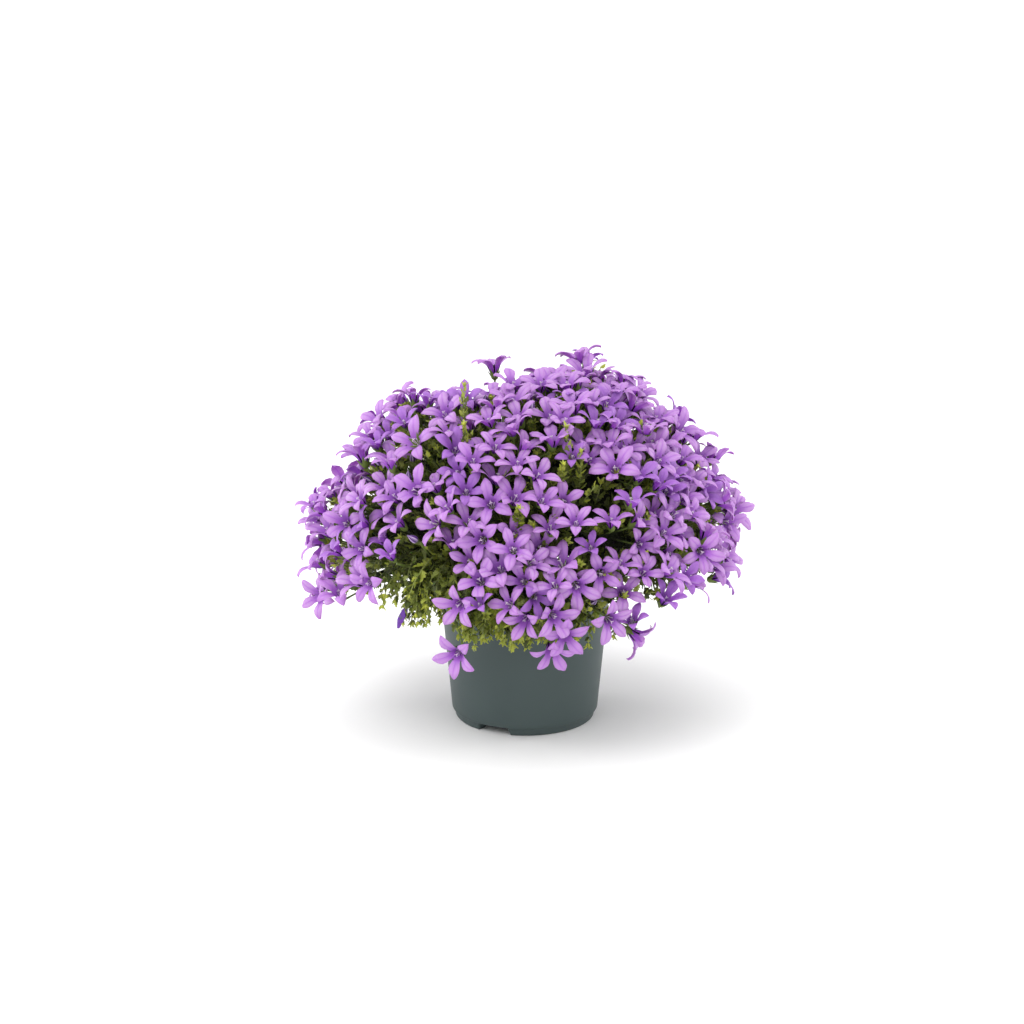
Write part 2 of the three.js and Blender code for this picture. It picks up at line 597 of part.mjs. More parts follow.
// A leaf stands on each large facet of the core that looks out, a leafy tip rises into each wide gap between bells,
// and trailing stems hang below.
const shootSolids = shootDirections.map((own, s) => {
  const draw = drawFrom(700 + s);
  const hull = clearCore(own, s);
  const foot = feet[s];
  const top = centre.clone().addScaledVector(own, DOME.reach * (CORE.innerShare + 0.06));
  top.z = Math.max(top.z, CORE.lowest + 3);
  const solids = [solidOf(hull), stem([foot, V(foot.x, foot.y, SOIL.top + 8), top], SHOOT.radius, 5)];
  const blades = [];
  const leafOn = (root, way, rise) => {
    const side = way.clone().cross(V(0.3, 1, 0.1)).normalize();
    const first = draw() * 2 * Math.PI;
    for (let attempt = 0; attempt < LEAF.attempts; attempt += 1) {
      const turn = first + attempt * 2.4;
      const out = side.clone().multiplyScalar(Math.cos(turn))
        .addScaledVector(way.clone().cross(side), Math.sin(turn));
      const along = way.clone().multiplyScalar(rise).addScaledVector(out, 0.8).normalize();
      const across = way.clone().cross(out).normalize();
      const { points, faces } = leaf(root.clone().addScaledVector(along, -LEAF.sink), along, across);
      if (points.some((p) => keepInCell(p.clone(), own, shootDirections, APART).distanceTo(p) > 0)) continue;
      const blade = solidOf(closedGeometry(points, faces));
      if ([...spraySolids, ...blades].some((other) => other.intersect(blade).volume() > 0)) continue;
      blades.push(blade);
      return;
    }
  };
  const at = hull.attributes.position;
  for (let i = 0; i < at.count; i += 3) {
    const facet = new THREE.Triangle().setFromAttributeAndIndices(at, i, i + 1, i + 2);
    const way = facet.getNormal(V(0, 0, 0));
    const middle = facet.getMidpoint(V(0, 0, 0));
    const outward = middle.clone().sub(centre).normalize();
    if (way.dot(outward) < 0.5 || middle.distanceTo(centre) < DOME.reach * 0.55) continue;
    if (facet.getArea() > LEAF.facet) leafOn(middle, way, 0.6 + 0.6 * draw());
  }
  gapDirections.forEach((d, k) => {
    if (nearest(d, shootDirections) !== s || LEAFY_GAPS[k].radius < TIP.smallest) return;
    const end = centre.clone().addScaledVector(d, reach(d) - TIP.depth);
    const tip = stem([centre.clone().addScaledVector(d, reach(d) - CORE.depth - 9), end], TIP.radius, 3);
    if (spraySolids.some((spray) => spray.intersect(tip).volume() > 0)) return;
    solids.push(tip);
    for (let i = 0; i < TIP.leaves; i += 1) leafOn(end.clone().addScaledVector(d, -2 - TIP.step * i), d, 0.9);
  });
  for (const trail of TRAILS) {
    const d = direction(trail.azimuth, trail.elevation);
    if (nearest(d, shootDirections) !== s) continue;
    const end = centre.clone().addScaledVector(d, trail.reach);
    const start = centre.clone().addScaledVector(direction(trail.azimuth, TIP.trailRise), TIP.trailStart);
    const trailing = stem([start, end], TIP.radius, 3);
    if (spraySolids.some((spray) => spray.intersect(trailing).volume() > 0)) continue;
    solids.push(trailing);
    const way = end.clone().sub(start).normalize();
    for (let i = 0; i < TIP.leaves; i += 1) leafOn(end.clone().addScaledVector(way, -2 - TIP.step * i), way, 0.9);
  }
  return fuse([...solids, ...blades]);
});

group.add(meshOf(pot(), "pot", POT_GREY));
group.add(meshOf(soil(feet), "soil", SOIL_BROWN));
const number = (i) => String(i + 1).padStart(2, "0");
shootSolids.forEach((solid, s) => group.add(meshOf(solid, `leafy_shoot_${number(s)}`, LEAF_GREEN)));
spraySolids.forEach((solid, k) => group.add(meshOf(solid, `bell_spray_${number(k)}`, PETAL_VIOLET)));

export default group;
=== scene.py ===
import math

import bmesh
import bpy
import numpy as np
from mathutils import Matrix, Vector


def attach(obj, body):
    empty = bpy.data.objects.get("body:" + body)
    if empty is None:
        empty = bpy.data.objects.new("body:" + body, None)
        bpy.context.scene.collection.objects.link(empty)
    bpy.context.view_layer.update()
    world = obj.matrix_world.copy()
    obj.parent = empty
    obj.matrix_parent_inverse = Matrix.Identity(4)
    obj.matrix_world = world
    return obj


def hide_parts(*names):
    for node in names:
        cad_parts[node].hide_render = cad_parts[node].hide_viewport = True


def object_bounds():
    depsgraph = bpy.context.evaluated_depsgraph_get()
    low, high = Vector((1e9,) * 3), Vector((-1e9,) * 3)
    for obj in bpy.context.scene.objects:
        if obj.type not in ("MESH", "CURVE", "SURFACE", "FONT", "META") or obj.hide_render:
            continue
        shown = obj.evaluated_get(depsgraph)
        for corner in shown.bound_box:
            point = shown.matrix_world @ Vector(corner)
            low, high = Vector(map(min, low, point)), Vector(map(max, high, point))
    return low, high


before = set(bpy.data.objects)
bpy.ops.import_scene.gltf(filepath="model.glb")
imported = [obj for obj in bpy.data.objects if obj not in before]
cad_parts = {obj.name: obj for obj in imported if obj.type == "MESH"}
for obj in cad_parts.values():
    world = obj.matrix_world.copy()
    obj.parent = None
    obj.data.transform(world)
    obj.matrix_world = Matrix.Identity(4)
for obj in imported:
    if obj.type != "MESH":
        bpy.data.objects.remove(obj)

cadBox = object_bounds()
mm = 0.001
up = np.array([0.0, 0.0, 1.0])
print("potted bellflower: the frame is loaded")

# the dome that the plant fills, in millimetres and degrees; azimuth runs from the front towards the right
dome = {
    "centre": np.array([0.0, 0.0, 105.0]),
    "reach": 146.1,
    "lowestSin": -0.13,
    "skirtRaise": 0.11,
    "skirtLifts": [(62, 22, 0.27), (-52, 17, 0.2), (150, 20, 0.08), (-140, 22, 0.1),
                   (94, 10, 0.05)],  # azimuth, spread, lift
    "swells": [  # azimuth, elevation, spread, height
        (134, 67, 9, 22), (117, 56, 9, -5), (107, 44, 9, 5), (97, 23, 9, 13), (90, 0, 16, -3), (-160, 72, 11, -22),
        (-134, 66, 12, -22), (-120, 79, 13, -9), (180, 80, 9, -7), (-119, 58, 8, 8), (-109, 47, 9, 11),
        (-101, 31, 9, -20), (-96, 19, 10, 14), (-90, -6, 18, -4), (0, -5, 30, -11), (180, -5, 30, -11),
    ],
    "gaps": [  # azimuth, elevation, radius
        (-42.8, 45.0, 11), (-33.0, 47.2, 12), (-26.5, 52.0, 10), (-29.0, 60.0, 8), (11.5, 46.7, 13),
        (24.3, 42.8, 11), (22.2, 31.7, 12), (-49.0, 23.6, 10), (-8.3, 24.6, 12), (27, 22.0, 11), (-46.5, 12.7, 11),
        (-37.5, 12.4, 15), (-29.9, 17.9, 13), (-25.7, 13.3, 13), (-31.4, 8.5, 15), (-34.6, 2.4, 14), (-26.5, 2.6, 14),
        (-4.5, 12.0, 9), (-13.3, 4.2, 10), (15, 5.8, 10), (150, 40, 14), (-120, 28, 14), (200, 16, 15), (96, 22, 13),
    ],
    "strays": [  # azimuth, elevation, reach, and the azimuth and elevation that the bell faces
        (-158, 69, 146, -160, 75), (-19.5, 5, 137, -25, -8), (-20.8, -10.2, 133, -25, -12), (7.6, -9.7, 130, 5, -35),
        (36.3, -8, 130, 75, -35), (-78, -3, 147, -40, 5), (24, 0.5, 137, 24, -8), (11, -3, 136, 12, -10),
    ],
    "shoots": 14, "shootTurn": 0.6,
    "sprays": 40, "sprayTurn": 1.9,
    "jointDepth": 38.0,  # how deep under the surface a spray's stalks meet
}


# a repeatable chain of draws between 0 and 1
def drawFrom(seed):
    state = [seed]

    def draw():
        state[0] = (state[0] * 1664525 + 1013904223) % 4294967296
        return state[0] / 4294967296

    return draw


# v / |v|
def unit(v):
    return v / np.linalg.norm(v, axis=-1, keepdims=True)


# x^2 (3 - 2x), held between 0 and 1
def smooth(x):
    x = np.clip(x, 0, 1)
    return x * x * (3 - 2 * x)


# (sin a cos e, -cos a cos e, sin e)
def direction(azimuth, elevation):
    a, e = np.radians(azimuth), np.radians(elevation)
    return np.stack([np.sin(a) * np.cos(e), -np.cos(a) * np.cos(e), np.sin(e) + 0 * a], -1)


# reach + the sum of height * exp(-0.5 * (angle to the swell / spread)^2)
def reachOf(dirs):
    total = np.full(dirs.shape[:-1], dome["reach"])
    for azimuth, elevation, spread, height in dome["swells"]:
        off = np.arccos(np.clip(dirs @ direction(azimuth, elevation), -1, 1)) / math.radians(spread)
        total = total + height * np.exp(-0.5 * off * off)
    return total


# a golden spiral from the top to the skirt, whose height z = lowest(a) varies with azimuth
def spiralDirections(count, turn):
    i = np.arange(count)
    a = i * math.pi * (3 - math.sqrt(5)) + turn
    lowest = dome["lowestSin"] + dome["skirtRaise"] * np.cos(a) ** 2
    for azimuth, spread, lift in dome["skirtLifts"]:
        off = (np.degrees(a) - azimuth + 180) % 360 - 180
        lowest = lowest + lift * np.exp(-0.5 * (off / spread) ** 2)
    z = 1 - ((i + 0.5) / count) * (1 - lowest)
    r = np.sqrt(1 - z * z)
    return np.stack([r * np.sin(a), -r * np.cos(a), z], -1)


# points behind a plane that parts two cells are moved straight back to it
def keepInCell(points, own, cells, room):
    points = points.copy()
    for k in range(len(cells)):
        n = cells[own] - cells[k]
        length = np.linalg.norm(n, axis=-1, keepdims=True)
        n = np.where(length > 0, n / np.maximum(length, 1e-12), 0)
        side = ((points - dome["centre"]) * n).sum(-1, keepdims=True)
        points += n * np.maximum(room - side, 0) * (length > 0)
    return points


bellLook = {
    "count": 458, "seed": 17664, "turn": 0.27, "jitter": 0.075, "lean": 1.25, "budShare": 0.05, "youngShare": 0.18,
    "depths": 8.0, "sunkBy": 9.0, "sunkShare": 0.4, "smallest": 0.83, "sizes": 0.27,
    "radius": 15.6, "notch": 5.4, "tube": 13.0, "neck": 1.8,
    "spacing": 18.5, "edgeRoom": 7.0, "rounds": 12, "stalkRoom": 12.0,
    "pastMates": 5.0, "pastCells": 4.0,  # how far a lobe may reach past the plane halfway to its neighbour
    "rows": np.array([0, 0.2, 0.42, 0.52, 0.63, 0.74, 0.85, 0.94, 1.0]),
    "across": np.array([-1, -0.5, 0, 0.5, 1.0]),
    "baseWidth": 2.5, "halfWidth": 4.0, "bulge": 0.35, "edge": 0.7, "curl": 1.8, "thickness": 0.25, "wobble": 0.09,
}
shootDirs = spiralDirections(dome["shoots"], dome["shootTurn"])
sprayDirs = spiralDirections(dome["sprays"], dome["sprayTurn"])
joints = dome["centre"] + sprayDirs * (reachOf(sprayDirs) - dome["jointDepth"])[:, None]
gapDirs = np.array([direction(a, e) for a, e, _ in dome["gaps"]])


# angle to the nearest gap's middle * reach / that gap's radius: under 1 inside a gap
def gapShare(dirs):
    angles = np.arccos(np.clip(dirs @ gapDirs.T, -1, 1)) * dome["reach"]
    return (angles / np.array([g[2] for g in dome["gaps"]])).min(-1)


# whether one bell's stalk would pass through the lobes of another: where it crosses the plane of the other's mouth,
# it is less than stalkRoom from the mouth's middle
def pierces(a, b):
    foot, neck = joints[a["spray"]], a["place"] - a["axis"] * bellLook["tube"] * a["size"]
    mouth = b["place"] - 2 * b["axis"]
    low, high = (foot - mouth) @ b["axis"], (neck - mouth) @ b["axis"]
    if low * high >= 0:
        return False
    return np.linalg.norm(foot + (neck - foot) * low / (low - high) - mouth) < bellLook["stalkRoom"]


# the bells stand on a jittered spiral, push each other apart for some rounds and keep to their spray's cell
def layOutBells():
    s = bellLook
    draw = drawFrom(s["seed"])
    bells = []
    for way in spiralDirections(s["count"], s["turn"]):
        shift = np.array([draw() - 0.5, draw() - 0.5, draw() - 0.5]) * s["jitter"]
        lean = np.array([draw() - 0.5, draw() - 0.5, draw() - 0.5]) * s["lean"]
        deep = s["depths"] * (draw() - 0.5) + (s["sunkBy"] if draw() < s["sunkShare"] else 0)
        b = {"lean": lean, "deep": deep, "spin": draw() * 6}
        b.update(size=s["smallest"] + s["sizes"] * draw(), cup=draw() * draw(), stray=False)
        b["kind"] = "bud" if draw() < s["budShare"] else "bell"
        way = unit(way + shift)
        if gapShare(way) < 1:
            continue
        b["spray"] = int(np.argmax(sprayDirs @ way))
        b["place"] = dome["centre"] + way * (reachOf(way) - b["deep"])
        bells.append(b)
    for azimuth, elevation, reach, faceAzimuth, faceElevation in dome["strays"]:
        way = direction(azimuth, elevation)
        b = {"axis": direction(faceAzimuth, faceElevation), "deep": reachOf(way) - reach, "spin": 2 * draw()}
        b.update(size=1.0, cup=0.3, stray=True, kind="bell", spray=int(np.argmax(sprayDirs @ way)))
        b["place"] = dome["centre"] + way * reach
        bells.append(b)
    places = np.array([b["place"] for b in bells])
    own = np.array([b["spray"] for b in bells])
    deep = np.array([b["deep"] for b in bells])
    free = np.array([0.0 if b["stray"] else 1.0 for b in bells])[:, None]
    gapPlaces = dome["centre"] + gapDirs * reachOf(gapDirs)[:, None]
    gapRadii = np.array([g[2] for g in dome["gaps"]])
    for _ in range(s["rounds"]):
        away = places[:, None] - places[None]
        far = np.linalg.norm(away, axis=-1)
        pull = np.where((far > 0) & (far < s["spacing"]), (s["spacing"] - far) / np.maximum(far, 1e-9) / 3, 0)
        clear = places[:, None] - gapPlaces[None]
        far = np.linalg.norm(clear, axis=-1)
        push = np.where(far < gapRadii, (gapRadii - far) / np.maximum(far, 1e-9), 0)
        places = places + ((away * pull[..., None]).sum(1) + (clear * push[..., None]).sum(1)) * free
        places = keepInCell(places, own, sprayDirs, s["edgeRoom"])
        dirs = unit(places - dome["centre"])
        places = dome["centre"] + dirs * (reachOf(dirs) - deep)[:, None]
    for b, place in zip(bells, places):
        b["place"] = place
        if not b["stray"]:
            way = unit(place - dome["centre"])
            b["axis"] = unit(way + up * (0.25 + 0.55 * way[2]) + b["lean"])  # faces out and somewhat up
        side = np.array([1.0, 0, 0]) if abs(b["axis"][2]) > 0.9 else up
        b["u"] = unit(np.cross(side, b["axis"]))
        b["v"] = np.cross(b["axis"], b["u"])
    return [b for b in bells if b["stray"] or not any(
        a is not b and a["spray"] == b["spray"] and pierces(a, b) for a in bells)]


bells = layOutBells()
print("laid out", len(bells), "bells and buds")


# collects grids of points (..., rows, columns, 3) as quads, with a uv and a tone for each point; a closed grid meets
# itself round its columns, and its first and last rows are shut by a fan to their middle
class Sheets:
    def __init__(self):
        self.points, self.uvs, self.tones, self.quads, self.slots, self.count = [], [], [], [], [], 0

    def add(self, points, uv=None, tone=0.5, slot=0, closed=False):
        uv = gridUv(*points.shape[-3:-1]) if uv is None else uv
        uv = np.broadcast_to(uv, points.shape[:-1] + (2,))
        tone = np.broadcast_to(tone, points.shape[:-1])
        if closed:
            more = [(0, 0)] * (points.ndim - 3) + [(1, 1), (0, 0)]
            middles = np.broadcast_to(points.mean(-2, keepdims=True), points.shape)
            points = np.concatenate([middles[..., :1, :, :], points, middles[..., -1:, :, :]], -3)
            uv, tone = np.pad(uv, more + [(0, 0)], "edge"), np.pad(tone, more, "edge")
        rows, cols = points.shape[-3:-1]
        flat = points.reshape(-1, 3)
        ids = np.arange(len(flat)).reshape(-1, rows, cols)
        here = ids if closed else ids[:, :, :-1]
        beside = np.roll(ids, -1, 2) if closed else ids[:, :, 1:]
        quads = np.stack([here[:, :-1], beside[:, :-1], beside[:, 1:], here[:, 1:]], -1).reshape(-1, 4)
        self.points.append(flat)
        self.uvs.append(uv.reshape(-1, 2))
        self.tones.append(tone.reshape(-1))
        self.quads.append(quads + self.count)
        self.slots.append(np.full(len(quads), slot))
        self.count += len(flat)

    # a thin blade: the grid twice, a hair apart inside and meeting along its edge; the back's uv lies 2 higher in v
    def addBlade(self, points, thickness, uv=None, tone=0.5, slot=0):
        normal = unit(np.cross(np.gradient(points, axis=-2), np.gradient(points, axis=-3)) + 1e-9)
        inside = np.zeros(points.shape[-3:-1] + (1,))
        inside[1:-1, 1:-1] = thickness / 2
        uv = gridUv(*points.shape[-3:-1]) if uv is None else uv
        tone = np.broadcast_to(tone, points.shape[:-1])
        self.add(points + normal * inside, uv, tone, slot)
        self.add((points - normal * inside)[..., ::-1, :], (uv + [0, 2])[..., ::-1, :], tone[..., ::-1], slot)

    # the finished piece; where a node is named, a merged copy of its mesh is tucked in under the twigs and joined on
    def build(self, name, materials, node=None, nodeSlot=0):
        mesh = bpy.data.meshes.new(name)
        quads = np.concatenate(self.quads)
        mesh.vertices.add(self.count)
        mesh.vertices.foreach_set("co", (np.concatenate(self.points) * mm).ravel())
        mesh.loops.add(quads.size)
        mesh.loops.foreach_set("vertex_index", quads.ravel())
        mesh.polygons.add(len(quads))
        mesh.polygons.foreach_set("loop_start", np.arange(len(quads)) * 4)
        mesh.polygons.foreach_set("loop_total", np.full(len(quads), 4))
        for material in materials:
            mesh.materials.append(material)
        mesh.polygons.foreach_set("material_index", np.concatenate(self.slots))
        mesh.update(calc_edges=True)
        mesh.uv_layers.new(name="own").data.foreach_set("uv", np.concatenate(self.uvs)[quads.ravel()].ravel())
        mesh.attributes.new("tone", "FLOAT", "POINT").data.foreach_set("value", np.concatenate(self.tones))
        mesh.validate()
        bm = bmesh.new()
        bm.from_mesh(mesh)
        bmesh.ops.remove_doubles(bm, verts=bm.verts, dist=1e-6)
        bmesh.ops.dissolve_degenerate(bm, edges=bm.edges, dist=1e-7)
        if node:
            copy = bmesh.new()
            copy.from_mesh(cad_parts[node].data)
            bmesh.ops.remove_doubles(copy, verts=copy.verts, dist=1e-6)
            for vert, place in zip(copy.verts, tuckIn(np.array([v.co for v in copy.verts]) / mm) * mm):
                vert.co = place
            for face in copy.faces:
                face.material_index = nodeSlot
            spare = bpy.data.meshes.new("spare")
            copy.to_mesh(spare)
            copy.free()
            bm.from_mesh(spare)
            bpy.data.meshes.remove(spare)
        bm.to_mesh(mesh)
        bm.free()
        mesh.polygons.foreach_set("use_smooth", np.ones(len(mesh.polygons), bool))
        mesh.set_sharp_from_angle(angle=math.radians(50))
        piece = bpy.data.objects.new(name, mesh)
        bpy.context.scene.collection.objects.link(piece)
        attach(piece, "root")
        return piece


# no point lies further from the dome's centre than low + share * (reach - under - low), where the share grows
# smoothly from 0 at the skirt to 1 a little above it
def tuckIn(points):
    way = points - dome["centre"]
    far = np.linalg.norm(way, axis=-1, keepdims=True)
    dirs = way / far
    share = smooth((dirs[:, 2:] + 0.1) / 0.3)
    limit = twigLook["coreLow"] + share * (reachOf(dirs)[:, None] - twigLook["coreUnder"] - twigLook["coreLow"])
    return dome["centre"] + dirs * np.minimum(far, limit)


# u from 0 to 1 along a row of the grid, v from 0 to 1 down its rows
def gridUv(rows, cols):
    v, u = np.meshgrid(np.linspace(0, 1, rows), np.linspace(0, 1, cols), indexing="ij")
    return np.stack([u, v], -1)


# two unit vectors across a way, turned about it
def turnedFrames(way, turn=0.0):
    side = unit(np.cross(way, np.array([0.3, 1.0, 0.1])))
    other = np.cross(way, side)
    turn = np.asarray(turn)[..., None]
    out = side * np.cos(turn) + other * np.sin(turn)
    return out, np.cross(way, out)


# round stems through lines of points: ring(a) = point + radius * (u cos a + v sin a)
def stemGrid(lines, radii, sides):
    u, v = turnedFrames(unit(np.gradient(lines, axis=-2)))
    a = np.linspace(0, 2 * math.pi, sides, endpoint=False)[:, None]
    ring = u[..., None, :] * np.cos(a) + v[..., None, :] * np.sin(a)
    return lines[..., None, :] + ring * np.asarray(radii, float)[..., None, None]


# a ball: radius * (sin v cos a, sin v sin a, cos v), flat at its poles
def ballGrid(radius, rows, sides):
    v = np.linspace(0.04, 0.96, rows)[:, None] * math.pi
    a = np.linspace(0, 2 * math.pi, sides, endpoint=False)[None, ::-1]
    return np.stack([np.sin(v) * np.cos(a), np.sin(v) * np.sin(a), np.cos(v) + 0 * a], -1) * radius


# a socket with arithmetic: each operator adds one Math node
class Value:
    def __init__(self, nodes, socket):
        self.nodes = nodes
        self.socket = socket

    def math(self, operation, *operands):
        return self.nodes.make("ShaderNodeMath", {"operation": operation}, dict(enumerate(operands)))

    def __add__(self, other):
        return self.math("ADD", self, other)

    def __radd__(self, other):
        return self.math("ADD", other, self)

    def __sub__(self, other):
        return self.math("SUBTRACT", self, other)

    def __rsub__(self, other):
        return self.math("SUBTRACT", other, self)

    def __mul__(self, other):
        return self.math("MULTIPLY", self, other)

    def __rmul__(self, other):
        return self.math("MULTIPLY", other, self)

    def __abs__(self):
        return self.math("ABSOLUTE", self)

    def sin(self):
        return self.math("SINE", self)


def rgb(r, g, b):
    return (r, g, b, 1.0)


# a material and the nodes that colour it
class Finish:
    def __init__(self, name, roughness, fixed=None):
        self.material = bpy.data.materials.new(name)
        self.material.use_nodes = True
        self.tree = self.material.node_tree
        self.shader = self.tree.nodes["Principled BSDF"]
        self.shader.inputs["Roughness"].default_value = roughness
        for socket, value in (fixed or {}).items():
            self.shader.inputs[socket].default_value = value

    # any node: its settings first, then the values or links of its sockets
    def make(self, kind, settings=None, inputs=None, out=0):
        node = self.tree.nodes.new(kind)
        for name, value in (settings or {}).items():
            setattr(node, name, value)
        for name, value in (inputs or {}).items():
            if isinstance(value, Value):
                self.tree.links.new(value.socket, node.inputs[name])
            else:
                node.inputs[name].default_value = value
        return Value(self, node.outputs[out])

    def noise(self, scale, detail=3.0, rough=0.55):
        place = self.make("ShaderNodeTexCoord", out="Object")
        inputs = {"Vector": place, "Scale": scale, "Detail": detail, "Roughness": rough}
        return self.make("ShaderNodeTexNoise", None, inputs)

    # u and v of the front; the third value is 1 on a blade's back
    def uv(self):
        own = self.make("ShaderNodeUVMap", {"uv_map": "own"})
        u = self.make("ShaderNodeSeparateXYZ", None, {0: own}, 0)
        v = self.make("ShaderNodeSeparateXYZ", None, {0: own}, 1)
        back = self.step(v, 1.4, 1.6)
        return u, v - back * 2.0, back

    def tone(self):
        return self.make("ShaderNodeAttribute", {"attribute_name": "tone"}, None, "Fac")

    def mix(self, share, a, b):
        return self.make("ShaderNodeMix", {"data_type": "RGBA"}, {0: share, 6: a, 7: b}, 2)

    # 0 at low, 1 at high, smooth between
    def step(self, value, low, high):
        inputs = {"Value": value, "From Min": low, "From Max": high, "To Min": 0.0, "To Max": 1.0}
        return self.make("ShaderNodeMapRange", {"interpolation_type": "SMOOTHSTEP"}, inputs)

    def finish(self, color, bump, strength=0.3, distance=0.0004, roughness=None):
        relief = self.make("ShaderNodeBump", None, {"Height": bump, "Strength": strength, "Distance": distance})
        links = {"Base Color": color, "Normal": relief, "Roughness": roughness}
        for name, value in links.items():
            if value is not None:
                self.tree.links.new(value.socket, self.shader.inputs[name])
        return self.material


# a petal: dark throat, deep base, lilac blade with two pale fields beside a darker midrib (partly a paler petal
# colour, partly a painted highlight on each bulging half), deeper rim and tip, faint veins; a young bell (tone 0) is
# deeper all over, and the back is greyer
def petalFinish():
    f = Finish("bellPetal", 0.48, {
        "Subsurface Weight": 0.2, "Subsurface Radius": (0.004, 0.002, 0.005), "Subsurface Scale": 0.5,
        "Specular IOR Level": 0.35})
    u, v, back = f.uv()
    side = abs(u - 0.5) * 2.0
    tone = f.tone()
    cloud = f.noise(55.0, 3.0)
    blade = f.mix(tone, rgb(0.41, 0.16, 0.57), rgb(0.465, 0.21, 0.565))
    color = f.mix(f.step(v, 0.30, 0.74), rgb(0.25, 0.055, 0.46), blade)
    # painted highlight: the two pale fields are partly paler petal and partly the light caught on each bulging half
    # of a lobe
    paleFieldAndHighlight = f.step(abs(side - 0.45), 0.40, 0.05) * f.step(v, 0.46, 0.64) * f.step(v, 1.0, 0.80)
    color = f.mix(paleFieldAndHighlight * (0.15 + tone * 0.5), color, rgb(0.54, 0.365, 0.62))
    rim = f.step(side, 0.62, 1.0) * f.step(v, 0.42, 0.6) * 0.55 + f.step(v, 0.86, 1.0) * 0.4
    color = f.mix(rim, color, rgb(0.44, 0.155, 0.55))
    middle = f.step(side, 0.17, 0.02) * f.step(v, 1.0, 0.6) * 0.6
    color = f.mix(middle, color, rgb(0.25, 0.085, 0.47))
    veins = f.step((side * 9.0 - v * 14.0 + cloud * 2.0).sin(), 0.55, 1.0) * f.step(v, 0.35, 0.55) * 0.16
    color = f.mix(veins, color, rgb(0.28, 0.11, 0.50))
    color = f.mix(f.step(cloud, 0.35, 0.75) * 0.25, color, rgb(0.36, 0.11, 0.52))
    color = f.mix(f.step(tone, 0.14, 0.08) * 0.7, color, rgb(0.22, 0.05, 0.44))
    color = f.mix(back * 0.35, color, rgb(0.38, 0.20, 0.50))
    color = f.mix(f.step(v, 0.40, 0.05) * (1.0 - back), color, rgb(0.09, 0.025, 0.24))
    return f.finish(color, veins * 3.0 - middle * 1.5 + cloud * 0.4, 0.35, 0.0003)


# a leaf, with painted shade and light by its tone: nearly black deep down where shade falls (tone 0), olive, then
# yellow-green where the light falls, with paler veins and edge
def leafFinish():
    f = Finish("bellLeaf", 0.42, {
        "Subsurface Weight": 0.08, "Subsurface Radius": (0.001, 0.002, 0.0005), "Subsurface Scale": 0.5,
        "Specular IOR Level": 0.35})
    u, v, back = f.uv()
    side = abs(u - 0.5) * 2.0
    tone = f.tone()
    cloud = f.noise(90.0, 4.0)
    # painted shade and light: the tone comes mostly from how deep and how low the leaf sits in the plant
    color = f.mix(f.step(tone, 0.0, 0.55), rgb(0.014, 0.018, 0.005), rgb(0.15, 0.18, 0.022))
    color = f.mix(f.step(tone, 0.35, 0.95), color, rgb(0.46, 0.50, 0.055))
    color = f.mix(f.step(cloud, 0.35, 0.7) * 0.4, color, f.mix(0.6, color, rgb(0.012, 0.028, 0.006)))
    veins = f.step((v * 26.0 - side * 6.0).sin(), 0.7, 1.0) * f.step(side, 1.0, 0.3) * 0.45
    line = f.step(side, 0.16, 0.03) + f.step(side, 0.88, 1.0) * 0.6
    color = f.mix((veins * 0.4 + line * 0.35) * (0.25 + tone * 0.75), color, rgb(0.42, 0.50, 0.14))
    color = f.mix(back * 0.3, color, f.mix(tone, rgb(0.03, 0.04, 0.02), rgb(0.28, 0.34, 0.11)))
    return f.finish(color, cloud * 0.6 - veins, 0.5, 0.0004, 0.36 + cloud * 0.25)


# stalks and calyxes: green at the bell (v 0), with a brown tinge, and darkened with painted shade towards the knot (v
# 1) deep inside the plant
def stalkFinish():
    f = Finish("bellStalk", 0.5, {"Specular IOR Level": 0.3})
    u, v, back = f.uv()
    cloud = f.noise(160.0, 3.0)
    color = f.mix(cloud, rgb(0.07, 0.11, 0.018), rgb(0.19, 0.25, 0.06))
    # painted shade: near black towards the knot, where the stalks meet deep inside the dome
    color = f.mix(f.step(v, 0.2, 0.55), color, f.mix(cloud, rgb(0.008, 0.012, 0.004), rgb(0.03, 0.04, 0.012)))
    return f.finish(color, cloud, 0.4, 0.0003)


# the leafy stems, with painted light and shade by tone: pale yellow-green where the light falls, dark where shade
# falls deep down
def twigFinish():
    f = Finish("leafyTwig", 0.5, {"Specular IOR Level": 0.3})
    tone = f.tone()
    cloud = f.noise(200.0, 3.0)
    # painted shade and light: a low tone darkens stems deep inside, a high tone lightens those in the light
    color = f.mix(f.step(tone, 0.1, 0.9), rgb(0.018, 0.023, 0.008), rgb(0.44, 0.50, 0.15))
    color = f.mix(cloud * 0.5, color, f.mix(tone, rgb(0.008, 0.010, 0.004), rgb(0.19, 0.23, 0.05)))
    return f.finish(color, cloud, 0.4, 0.0003)


# the imported foliage inside the plant, painted nearly black as the shade deep inside it
def coreFinish():
    f = Finish("foliageCore", 0.8)
    patches = f.noise(140.0, 5.0, 0.7)
    # painted shade: foliage deep inside the plant is coloured almost black
    color = f.mix(f.step(patches, 0.35, 0.7), rgb(0.004, 0.006, 0.003), rgb(0.026, 0.036, 0.010))
    return f.finish(color, patches, 1.0, 0.003)


def stigmaFinish():
    f = Finish("bellStigma", 0.5)
    grain = f.noise(500.0, 2.0)
    color = f.mix(grain, rgb(0.50, 0.38, 0.50), rgb(0.74, 0.66, 0.72))
    return f.finish(color, grain, 0.4, 0.0002)


# a bud: pale pleats with dark violet stripes over a green foot
def budFinish():
    f = Finish("bellBud", 0.5)
    u, v, back = f.uv()
    stripes = f.step((u * 31.4159).sin(), -0.2, 0.7)
    color = f.mix(stripes, rgb(0.085, 0.025, 0.17), rgb(0.50, 0.37, 0.60))
    color = f.mix(f.step(v, 0.34, 0.12), color, rgb(0.09, 0.12, 0.03))
    return f.finish(color, stripes, 0.5, 0.0004)


